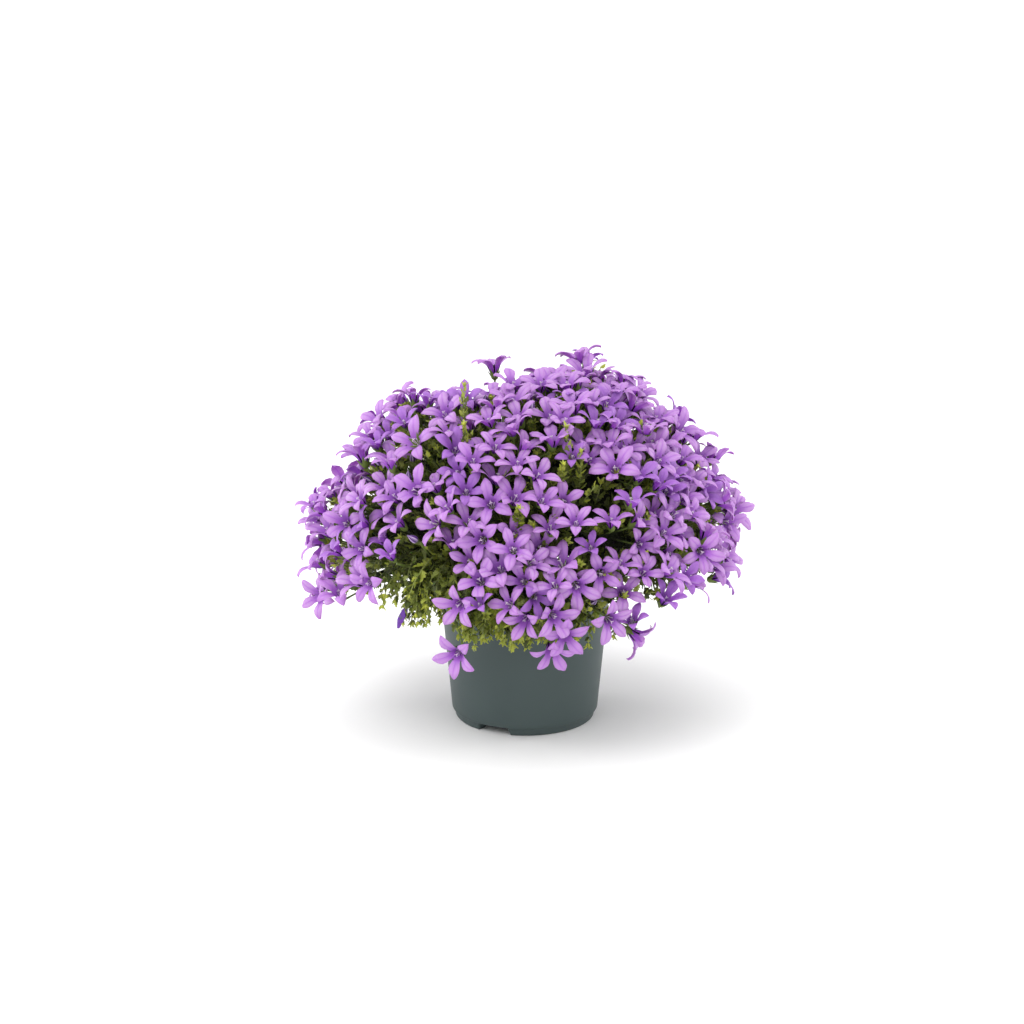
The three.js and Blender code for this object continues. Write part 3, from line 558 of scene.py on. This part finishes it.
# smooth grey-green plastic with a fine grain, faint scuffs and broad clouding
def potFinish():
    f = Finish("potPlastic", 0.5, {"Specular IOR Level": 0.45})
    grain = f.noise(900.0, 2.0)
    broad = f.noise(9.0, 3.0)
    scuff = f.step(f.noise(60.0, 6.0, 0.75), 0.62, 0.72)
    color = f.mix(f.step(broad, 0.3, 0.7), rgb(0.036, 0.057, 0.057), rgb(0.046, 0.069, 0.068))
    color = f.mix(scuff * 0.12, color, rgb(0.085, 0.105, 0.10))
    color = f.mix(grain * 0.15, color, rgb(0.036, 0.052, 0.052))
    return f.finish(color, grain + broad * 2.0, 0.12, 0.0002, 0.42 + broad * 0.2 + scuff * 0.08)


def soilFinish():
    f = Finish("peat", 0.9)
    crumbs = f.noise(260.0, 6.0, 0.7)
    fibres = f.noise(60.0, 4.0, 0.6)
    color = f.mix(f.step(crumbs, 0.35, 0.7), rgb(0.012, 0.007, 0.004), rgb(0.07, 0.04, 0.022))
    color = f.mix(f.step(fibres, 0.6, 0.75) * 0.5, color, rgb(0.13, 0.085, 0.05))
    return f.finish(color, crumbs + fibres, 1.0, 0.002)


petal, leafGreen, stalkGreen, twigGreen = petalFinish(), leafFinish(), stalkFinish(), twigFinish()
shadedCore, stigmaPale, budViolet = coreFinish(), stigmaFinish(), budFinish()
potPlastic, peat = potFinish(), soilFinish()
print("materials are made")


# place + size * (radius cos a * u + radius sin a * v + height * axis)
def onAxis(b, radius, angle, height):
    return b["place"] + b["size"] * (
        (radius * np.cos(angle))[..., None] * b["u"] + (radius * np.sin(angle))[..., None] * b["v"]
        + (height + 0 * angle)[..., None] * b["axis"])


# a bell's five lobes. Along one, s runs from the neck to the tip: a funnel up to s = 0.42, then with
# x = (s - 0.42) / 0.58 the arch (1-x)^2 * mouth + 2x(1-x) * bend + x^2 * tip, whose tip curls down by curl * x'^2.
# Across it, t runs from -1 to 1: angle = lobe + t * width(x) / radius, and each half bulges by 4|t|(1-|t|)
def lobes(b, wob):
    s = bellLook["rows"][None, :, None]
    t = bellLook["across"][None, None, :]
    x = np.clip((s - 0.42) / 0.58, 0, 1)
    y = np.clip(s / 0.42, 0, 1)
    longer, higher, turned = (wob[:, i, None, None] for i in range(3))
    lift = np.radians(8 + 34 * b["cup"] + b["closed"] + 7 * higher)
    length = (bellLook["radius"] - bellLook["notch"] + 1.2) * (1 + 0.07 * longer)
    tipR = bellLook["notch"] + length * np.cos(lift)
    tipH = -2.5 + length * np.sin(lift)
    bendR = (4.6 + tipR) / 2 - 0.26 * length * np.sin(lift) - 0.6
    bendH = (tipH - 4.6) / 2 + 0.26 * length * np.cos(lift) + 0.9
    radius = np.where(s <= 0.42, 1.7 + 2.9 * y ** 1.2, (1 - x) ** 2 * 4.6 + 2 * x * (1 - x) * bendR + x * x * tipR)
    height = np.where(s <= 0.42, 8.4 * y - 13, 2 * x * (1 - x) * bendH + x * x * tipH - (1 - x) ** 2 * 4.6)
    width = bellLook["baseWidth"] + (bellLook["halfWidth"] - bellLook["baseWidth"]) * smooth(x / 0.5)
    width = width * (1 - np.clip((x - 0.5) / 0.5, 0, 1) ** 1.9) ** 0.85 * (1 + 0.08 * longer)
    span = np.where(s <= 0.42, math.radians(36), np.minimum(width / radius, math.radians(35.8)))
    angle = b["spin"] + np.arange(5)[:, None, None] * math.radians(72) + t * span + bellLook["wobble"] * turned * x
    relief = bellLook["bulge"] * 4 * np.abs(t) * (1 - np.abs(t)) - bellLook["edge"] * t * t
    height = height + np.clip(x * 4, 0, 1) * relief + 0.9 * turned * t * x
    height = height - bellLook["curl"] * np.clip((x - 0.6) / 0.4, 0, 1) ** 2
    return onAxis(b, radius + 0 * angle, angle, height)


# lobes end some way past the planes halfway to the spray's other bells and to the next sprays
def keepBell(points, b, mates, pastMates, pastCells):
    points = points.copy()
    for other in mates:
        n = b["place"] - other["place"]
        if other is not b and np.linalg.norm(n) < 2.2 * bellLook["radius"]:
            side = (points - (b["place"] + other["place"]) / 2) @ unit(n)
            points += unit(n) * np.maximum(-pastMates - side, 0)[..., None]
    return keepInCell(points, b["spray"], sprayDirs, -pastCells)


# a cup of five pointed sepals round the foot of the tube: a turned profile, out and back in, whose rim zigzags
def calyx(b):
    a = b["spin"] + np.arange(10) * math.radians(36)
    tip = np.arange(10) % 2 == 0
    radius = np.stack([np.full(10, 0.8), np.full(10, 2.2), np.full(10, 2.9), np.where(tip, 5.4, 3.1),
                       np.full(10, 2.6), np.full(10, 0.6)])
    height = np.stack([np.full(10, -14.6), np.full(10, -13.7), np.full(10, -11.8), np.where(tip, -6.6, -11.2),
                       np.full(10, -11.4), np.full(10, -13.9)])
    return onAxis(b, radius, a + np.zeros((6, 1)), height)


# a style with three curled branches, and five anthers: stems through (radius, height) steps round the axis
def stigma(b):
    parts = []
    for count, steps, radii in (
            (1, [(0, -12.0), (0, -8.0), (0, -4.4)], [0.42, 0.38, 0.36]),
            (3, [(0.0, -4.7), (0.8, -3.7), (1.4, -4.0)], [0.32, 0.32, 0.1]),
            (5, [(0.8, -11.6), (2.4, -7.6)], [0.25, 0.33])):
        a = b["spin"] + np.arange(count)[:, None] * 2 * math.pi / count
        radius, height = np.array(steps).T[:, None]
        lines = onAxis(b, radius + 0 * a, a + 0 * radius, height)
        parts.append(stemGrid(lines, np.array(radii) + np.zeros((count, 1)), 4))
    return parts


# a closed bud, radius(v, a) = 2.2 sin(pi v^0.8) (1 + 0.13 cos 5a): a spindle with five pleats
def budGrid(start, axis, u, v, size, length=11.0, girth=2.2):
    h = np.linspace(0, 1, 9)[:, None]
    a = np.linspace(0, 2 * math.pi, 20, endpoint=False)[None, :]
    radius = (np.sin(math.pi * np.clip(h, 0.03, 0.985) ** 0.8) * girth + 0.15) * (1 + 0.13 * np.cos(5 * a))
    return start + size * ((radius * np.cos(a))[..., None] * u + (radius * np.sin(a))[..., None] * v
                           + (length * h + 0 * a)[..., None] * axis)


petalUv = np.stack(np.meshgrid((bellLook["across"] + 1) / 2, bellLook["rows"]), -1)
boxLow, boxHigh = (np.array(corner) / mm for corner in cadBox)
rng = np.random.RandomState(11)
for k in range(dome["sprays"]):
    mates = [b for b in bells if b["spray"] == k]
    sheets = Sheets()
    for b in mates:
        foot = b["place"] - b["size"] * bellLook["tube"] * b["axis"]
        neck = keepBell(foot[None], b, mates, -bellLook["neck"], -bellLook["neck"])[0]
        shift = neck - foot
        young = rng.uniform() < bellLook["youngShare"] and not b["stray"]
        b["closed"] = 14.0 if young else 0.0
        wob = rng.uniform(-1, 1, (5, 3))
        tone = 0.0 if young else rng.uniform(0.2, 1.0)
        if b["kind"] == "bud":
            sheets.add(budGrid(neck, b["axis"], b["u"], b["v"], b["size"]), slot=3, closed=True)
        else:
            b["size"] = b["size"] * (0.86 if young else 1.0)
            s = bellLook["rows"][None, :, None, None]
            points = lobes(b, wob) + shift * np.clip(1 - s / 0.42, 0, 1) ** 1.5
            kept = keepBell(points, b, mates, bellLook["pastMates"], bellLook["pastCells"])
            points = np.where(s > 0.2, kept, points)
            sheets.addBlade(np.clip(points, boxLow + 0.3, boxHigh - 0.3), bellLook["thickness"], petalUv, tone)
            sheets.add(calyx(b) + shift, gridUv(6, 10) * 0.2, slot=1, closed=True)
            for part in stigma(b):
                sheets.add(part + shift * 0.6, slot=2, closed=True)
        bend = (neck + joints[k]) / 2 + b["axis"] * -1.5
        start = neck - b["axis"] * 1.2
        line = np.array([start, start * 0.4 + bend * 0.6, bend * 0.4 + joints[k] * 0.6, joints[k]])
        sheets.add(stemGrid(line, [0.8, 0.6, 0.6, 0.8], 6), slot=1, closed=True)
    sheets.add(joints[k] + ballGrid(4.0, 6, 8), np.ones((6, 8, 2)), slot=1, closed=True)
    piece = sheets.build("bells_%02d" % (k + 1), [petal, stalkGreen, stigmaPale, budViolet])
    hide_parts("bell_spray_%02d" % (k + 1))
print("sprays are made")

twigLook = {
    "count": 640, "turn": 0.9, "jitter": 0.025, "leaves": 9, "length": 8.6,
    "tipDepth": (8.0, 21.0), "gapDepth": 12.0, "rootDepth": 48.0,
    "tuftShare": 0.5, "tuftLeaves": 5, "berryShare": 0.5,
    "rows": np.array([0, 0.10, 0.26, 0.36, 0.55, 0.64, 0.84, 1.0]),
    "halfWidth": np.array([0.02, 0.20, 0.44, 0.27, 0.40, 0.22, 0.20, 0.0]),
    "tooth": np.array([0, 0, 0.07, 0, 0.07, 0, 0.04, 0]),  # how far a tooth points forward
    "across": np.array([-1, 0, 1.0]), "thickness": 0.25,
    "spikes": [  # azimuth, elevation and reach of the foot and of the tip
        (-30.0, 49.0, 122, -36.0, 64.0, 156), (17.5, 41, 118, 17.5, 54, 147), (-26.5, 46, 118, -27.5, 54.0, 147),
        (21.5, 39, 118, 21.0, 47, 144), (13.0, 38, 118, 13.5, 44, 142), (-2.0, 27, 118, -1.9, 32.0, 143),
    ],
    "trails": [  # azimuth, elevation and reach of the tip, and how bright it is
        # the brightness sets painted light and shade on each trail's leaves
        (-41.6, 2.7, 140, 0.7), (-36.6, -1.2, 134, 0.5), (-36.5, -2.3, 125, 0.35), (-33.3, -3.6, 120, 0.55),
        (-29.2, 0.2, 115, 0.9), (-31.5, 3.5, 124, 1.0), (-26.5, 4.5, 118, 0.9), (-35.0, 6.5, 132, 0.8),
        (-21.6, -16.4, 96, 0.85), (-24.5, -12.5, 98, 0.9), (-18.5, -12.0, 93, 1.0), (-15.3, -13.0, 92, 1.0),
        (-11.0, -12.0, 92, 0.9), (-5.8, -16.7, 92, 1.0), (-2.0, -12.5, 94, 0.8), (6.1, -13.2, 92, 0.7),
        (14.0, -12.5, 94, 0.8), (25.5, -15.0, 99, 0.6), (21.0, -12.0, 97, 0.8), (29.9, -7.6, 116, 0.5),
        (44.2, 6.2, 133, 0.5), (47.0, 8.5, 134, 0.6), (-58.0, 5.5, 138, 0.5), (-50.0, 4.5, 136, 0.6),
    ],
    "fringes": [  # azimuth and its spread, elevation and its spread, reach, how many twigs and how bright
        # the brightness sets painted light and shade on each fringe's leaves
        (-33.0, 5.0, 1.5, 4.5, 124, 26, 0.75), (-42.0, 3.0, 6.0, 2.5, 135, 7, 0.6),
        (-17.0, 6.5, -11.5, 3.5, 96, 16, 1.0), (-3.0, 6.0, -12.0, 3.0, 95, 9, 0.9),
        (17.0, 9.0, -10.0, 3.0, 99, 12, 0.8), (44.0, 5.0, 7.0, 2.5, 131, 7, 0.6),
    ],
    "withered": (-36.2, 1.2, 132),  # azimuth, elevation and reach of the shrivelled bloom
    "coreLow": 56.0, "coreUnder": 34.0,  # how far out the core may reach at the skirt, and how deep it stays above
}


# toothed leaves: x = (s + tooth |t|) * length and y = t * halfWidth(s) * length * slim, folded up along the middle
# by 0.35 |y| and drooping by droop * s^2
def leafGrids(roots, along, across, length, slim, droop):
    s = twigLook["rows"][None, :, None]
    t = twigLook["across"][None, None, :]
    length = length[:, None, None]
    x = (s + twigLook["tooth"][None, :, None] * np.abs(t)) * length
    y = t * twigLook["halfWidth"][None, :, None] * length * slim
    z = np.abs(y) * 0.35 - droop[:, None, None] * s * s * length
    normal = np.cross(along, across)
    return (roots[:, None, None] + x[..., None] * along[:, None, None] + y[..., None] * across[:, None, None]
            + z[..., None] * normal[:, None, None])


# a twig is the curve (1-q)^2 * foot + 2q(1-q) * bend + q^2 * tip
def onTwig(foot, bend, tip, q):
    return foot * (1 - q) ** 2 + bend * 2 * q * (1 - q) + tip * q * q


# leaves round a twig by the golden angle, from share `first` of it to its tip: low ones stand off, high ones point on
def growLeaves(sheets, rng, foot, bend, tip, count, first, length, bright, wide=1.0):
    q = first + (1 - first) * np.arange(count)[:, None] / (count - 1)
    place = onTwig(foot, bend, tip, q)
    way = unit((bend - foot) * (1 - q) + (tip - bend) * q)
    out, _ = turnedFrames(way, np.arange(count) * 2.4 + rng.uniform(0, 6))
    off = np.radians(75 - 45 * q + rng.uniform(-12, 12, (count, 1)))
    along = unit(way * np.cos(off) + out * np.sin(off) + up * 0.12)
    across = unit(np.cross(along, way) + rng.uniform(-0.25, 0.25, (count, 3)))
    across = unit(across - along * (across * along).sum(-1, keepdims=True))
    size = length * rng.uniform(0.7, 1.2, count) * (1 - 0.5 * q[:, 0] ** 3)
    grids = leafGrids(place, along, across, size, wide, rng.uniform(-0.1, 0.3, count))
    # painted shade and light: leaves further down the twig, deeper in the plant, get a darker tone; bright is the
    # twig's painted light, with a random spread
    tones = bright * (0.35 + 0.65 * q[:, 0] ** 2) * rng.uniform(0.35, 1.55, count)
    sheets.addBlade(grids, twigLook["thickness"], tone=np.clip(tones, 0, 1)[:, None, None])
    line = onTwig(foot, bend, tip, np.linspace(0, 1, 6)[:, None])
    # painted shade: the stem darkens towards its foot deep inside
    stemTone = bright * np.linspace(0.2, 1, 6)[:, None]
    sheets.add(stemGrid(line, np.linspace(0.55, 0.3, 6), 4), tone=np.clip(stemTone, 0, 1), slot=1, closed=True)


# a star of narrow leaves at a twig's tip, some round a small round bud
def growTuft(sheets, rng, tip, way, bright):
    n = twigLook["tuftLeaves"]
    out, across = turnedFrames(np.repeat(way[None], n, 0), np.arange(n) * 2 * math.pi / n + rng.uniform(0, 6))
    along = unit(way + out * rng.uniform(0.5, 1.3, (n, 1)))
    grids = leafGrids(np.repeat(tip[None], n, 0), along, across, rng.uniform(3.0, 5.5, n), 0.55, np.zeros(n))
    # painted light: the tuft's leaves and its bud are painted brighter than their twig
    sheets.addBlade(grids, twigLook["thickness"], tone=np.clip(bright * 1.25 + 0.1, 0, 1))
    if rng.uniform() < twigLook["berryShare"]:
        sheets.add(tip + way * 1.2 + ballGrid(rng.uniform(1.0, 1.5), 5, 6), gridUv(5, 6) * 0.3 + 0.35,
                   tone=min(bright * 1.2 + 0.15, 1), closed=True)


# twigs fill the dome, some spikes stand up out of it, and trails hang from the skirt; each belongs to the shoot
# whose direction is nearest
rng = np.random.RandomState(77)
trails = list(twigLook["trails"])
for azimuth, turnedBy, elevation, raisedBy, reach, count, bright in twigLook["fringes"]:
    for _ in range(count):
        trails.append((azimuth + turnedBy * rng.normal(), elevation + raisedBy * rng.uniform(-1, 1),
                       reach + rng.uniform(-9, 5), bright * rng.uniform(0.5, 1.1)))
twigDirs = spiralDirections(twigLook["count"], twigLook["turn"])
owner = np.argmax(twigDirs @ shootDirs.T, 1)
twigGaps = gapShare(twigDirs)
centre = dome["centre"]
for k in range(dome["shoots"]):
    rng = np.random.RandomState(300 + k)
    sheets = Sheets()
    for i in np.nonzero(owner == k)[0]:
        way = unit(twigDirs[i] + rng.normal(0, twigLook["jitter"], 3))
        inGap = float(np.clip(1.3 - twigGaps[i], 0, 1))
        depth = rng.uniform(*twigLook["tipDepth"]) + twigLook["gapDepth"] * inGap
        tip = centre + way * (reachOf(way) - depth)
        foot = centre + unit(way * 0.85 + shootDirs[k] * 0.15) * (reachOf(way) - twigLook["rootDepth"])
        bend = (foot + tip) / 2 - up * 3 + rng.normal(0, 3.5, 3)
        # painted shade and light: twigs deep in the dome or in a gap are painted darker, those low at the front
        # lighter, with some random spread
        low = float(np.clip(0.75 - 3.0 * way[2], 0, 1)) * float(way[1] < 0.3)
        near = float(np.clip((24 - depth) / 14, 0, 1))
        bright = 0.32 + 0.30 * near + 0.55 * low + 0.30 * rng.uniform() ** 2
        growLeaves(sheets, rng, foot, bend, tip, twigLook["leaves"], 0.3, twigLook["length"], bright)
        if rng.uniform() < twigLook["tuftShare"]:
            growTuft(sheets, rng, tip, unit(tip - bend), bright)
    for az0, el0, reach0, az1, el1, reach1 in twigLook["spikes"]:
        foot, tip = centre + direction(az0, el0) * reach0, centre + direction(az1, el1) * reach1
        if np.argmax(shootDirs @ unit(tip - centre)) == k:
            bend = (foot + tip) / 2 + rng.normal(0, 1.5, 3)
            growLeaves(sheets, rng, foot, bend, tip, 30, 0.15, 6.4, 0.85, 0.75)
            growTuft(sheets, rng, tip, unit(tip - foot), 0.9)
    for azimuth, elevation, reach, bright in trails:
        tip = centre + direction(azimuth, elevation) * reach
        if np.argmax(shootDirs @ unit(tip - centre)) == k:
            foot = centre + direction(azimuth * 0.95, elevation + 20) * min(reach - 12, 92)
            bend = centre + direction(azimuth, elevation + 12) * (reach + 3) + rng.normal(0, 3, 3)
            growLeaves(sheets, rng, foot, bend, tip, 13, 0.25, 8.2, bright)
            growTuft(sheets, rng, tip, unit(tip - bend), bright)
    azimuth, elevation, reach = twigLook["withered"]
    place = centre + direction(azimuth, elevation) * reach
    if np.argmax(shootDirs @ unit(place - centre)) == k:
        axis = unit(np.array([-0.45, -0.2, -1.0]))
        foot = centre + direction(azimuth + 1, elevation + 14) * (reach - 20)
        bend = centre + direction(azimuth, elevation + 7) * (reach - 4)
        growLeaves(sheets, rng, foot, bend, place, 12, 0.2, 6.5, 0.4)
        u, v = turnedFrames(axis)
        crumpled = budGrid(place - axis * 2, axis, u, v, 1.0, 13.5, 2.3)
        crumpled = crumpled + 1.0 * np.sin(crumpled[..., [1, 2, 0]] * 0.95)
        sheets.add(crumpled, gridUv(9, 20) * [1, 0.1] + [0, 0.08], 0.0, 3, True)
    name = "leafy_shoot_%02d" % (k + 1)
    piece = sheets.build("foliage_%02d" % (k + 1), [leafGreen, twigGreen, shadedCore, petal], name, 2)
    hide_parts(name)
print("foliage is made")

potLook = {
    "height": 92.0, "baseRadius": 50.2, "flare": 0.092, "wall": 1.4, "rimHeight": 7.0, "rimProud": 1.8,
    "floorUnder": 6.4, "floorTop": 8.0, "footInner": 39.5, "gaps": [-27, 93, 213], "gapWidth": 27, "around": 240,
}


# a turned profile of (radius, height, whether the gaps lift it): in a gap z goes up by 0.96 (5.9 - z) * lift(angle),
# and lift falls from 1 to 0 over soft shoulders
def potShell():
    p = potLook

    def wall(z):
        return p["baseRadius"] + p["flare"] * z

    top, proud = p["height"], p["rimProud"]
    rim, inside = top - p["rimHeight"], -p["wall"]
    profile = [
        (0, p["floorUnder"], 0), (20, p["floorUnder"], 0), (p["footInner"] - 0.6, p["floorUnder"], 0),
        (p["footInner"], p["floorUnder"] - 0.4, 1), (p["footInner"] + 1.2, 0.5, 1), (p["footInner"] + 1.8, 0.05, 1),
        (wall(0) - 3.4, 0.05, 1), (wall(0) - 2.6, 0.25, 1), (wall(0) - 1.9, 0.9, 1), (wall(0) - 1.5, 2.0, 1),
        (wall(0) - 1.1, 4.0, 1), (wall(5.6) - 1.0, 5.5, 1), (wall(5.8) - 0.9, 5.8, 0), (wall(6.2) - 0.2, 6.1, 0),
        (wall(6.6), 6.7, 0), (wall(9), 9, 0), (wall(30), 30, 0), (wall(60), 60, 0), (wall(rim - 0.6), rim - 0.6, 0),
        (wall(rim) + 0.5, rim, 0), (wall(rim) + proud - 0.3, rim + 0.3, 0), (wall(rim) + proud, rim + 1.0, 0),
        (wall(top) + proud, top - 0.6, 0), (wall(top) + proud - 0.5, top, 0), (wall(top) + inside + 0.5, top, 0),
        (wall(top) + inside, top - 0.6, 0), (wall(60) + inside, 60, 0), (wall(10) + inside, 10, 0),
        (wall(8) + inside - 2, p["floorTop"], 0), (20, p["floorTop"], 0), (0, p["floorTop"], 0),
    ]
    r, z, lifted = (np.array(column)[:, None] for column in zip(*profile))
    a = np.linspace(0, 360, p["around"], endpoint=False)[None, :]
    off = np.abs((a - np.array(p["gaps"])[:, None] + 180) % 360 - 180).min(0)[None]
    lift = smooth((p["gapWidth"] / 2 + 1.2 - off) / 2.4)
    z = z + lifted * lift * (5.9 - z) * 0.96
    az = np.radians(a)
    return np.stack([r * np.sin(az), -r * np.cos(az), z + 0 * a], -1)


sheets = Sheets()
sheets.add(potShell(), closed=True)
piece = sheets.build("nursery_pot", [potPlastic])
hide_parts("pot")


soilLook = {"radius": 55.4, "floorRadius": 50.6, "edge": 82.0, "crown": 3.0, "side": 80.0, "floor": 9.0, "crumb": 0.7}


# crumbly soil: height = edge + crown (1 - (r / radius)^2) + a few waves, with a side down inside the pot and a floor
def soilGrid():
    p = soilLook
    r = np.concatenate([np.linspace(0, p["radius"], 24), [p["radius"] - 0.2, p["floorRadius"], 0]])[:, None]
    a = np.linspace(0, 2 * math.pi, 96, endpoint=False)[None, :]
    x, y = r * np.sin(a), -r * np.cos(a)
    waves = np.sin(x * 0.9 + 2 * np.sin(y * 0.7)) * np.sin(y * 1.1 + 1.7 * np.sin(x * 0.6)) * p["crumb"]
    z = p["edge"] + p["crown"] * (1 - (r / p["radius"]) ** 2) + waves * np.clip((54 - r) / 6, 0, 1)
    z[-3:] = np.array([p["side"], p["floor"], p["floor"]])[:, None]
    return np.stack([x, y, z], -1)


sheets = Sheets()
sheets.add(soilGrid()[::-1], closed=True)
piece = sheets.build("peat_fill", [peat])
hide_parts("soil")
print("pot and soil are made")

studio = {  # metres
    "distance": 1.60, "height": 0.582, "aimHeight": 0.1455, "aimSide": -0.009, "lens": 85.0, "floor": 60.0,
    "lights": [  # name, place, size, power
        ("key", (-0.9, -1.3, 1.7), 1.1, 12), ("left", (-1.5, 0.5, 0.5), 0.9, 8), ("right", (1.5, 0.5, 0.5), 0.9, 8),
    ],
    "sun": 0.8, "sky": 1.1,
}


# a light or camera at a place, looking at an aim
def turnTowards(thing, place, aim):
    bpy.context.scene.collection.objects.link(thing)
    thing.location = place
    thing.rotation_mode = "QUATERNION"
    thing.rotation_quaternion = (Vector(aim) - Vector(place)).to_track_quat("-Z", "Y")


def softLight(name, place, size, power):
    data = bpy.data.lights.new(name, "AREA")
    data.shape, data.size, data.energy = "DISK", size, power
    turnTowards(bpy.data.objects.new(name, data), place, (0, 0, 0.12))


half = studio["floor"]
floorMesh = bpy.data.meshes.new("floor")
floorMesh.from_pydata([(-half, -half, 0), (half, -half, 0), (half, half, 0), (-half, half, 0)], [], [(0, 1, 2, 3)])
floorPiece = bpy.data.objects.new("floor", floorMesh)
bpy.context.scene.collection.objects.link(floorPiece)
pale = Finish("paleFloor", 0.9)
clouds = pale.noise(3.0)
floorMesh.materials.append(pale.finish(pale.mix(clouds, rgb(0.90, 0.90, 0.90), rgb(0.92, 0.92, 0.92)), clouds, 0.02))

world = bpy.data.worlds.new("studio")
bpy.context.scene.world = world
world.use_nodes = True
world.node_tree.nodes["Background"].inputs[0].default_value = (1, 1, 1, 1)
world.node_tree.nodes["Background"].inputs[1].default_value = studio["sky"]
for name, place, size, power in studio["lights"]:
    softLight(name, place, size, power)
sunData = bpy.data.lights.new("overhead", "SUN")
sunData.energy, sunData.angle = studio["sun"], math.radians(70)
turnTowards(bpy.data.objects.new("overhead", sunData), (-0.3, -0.5, 1.6), (0, 0, 0))

cameraData = bpy.data.cameras.new("camera")
cameraData.lens, cameraData.sensor_width = studio["lens"], 36.0
camera = bpy.data.objects.new("camera", cameraData)
side = studio["aimSide"]
turnTowards(camera, (side, -studio["distance"], studio["height"]), (side, 0, studio["aimHeight"]))
bpy.context.scene.camera = camera
bpy.context.scene.view_settings.view_transform = "Standard"

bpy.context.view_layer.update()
shown = [o.data for o in bpy.data.objects if o.type == "MESH" and not o.hide_render]
print("triangles shown:", sum(len(face.vertices) - 2 for mesh in shown for face in mesh.polygons))
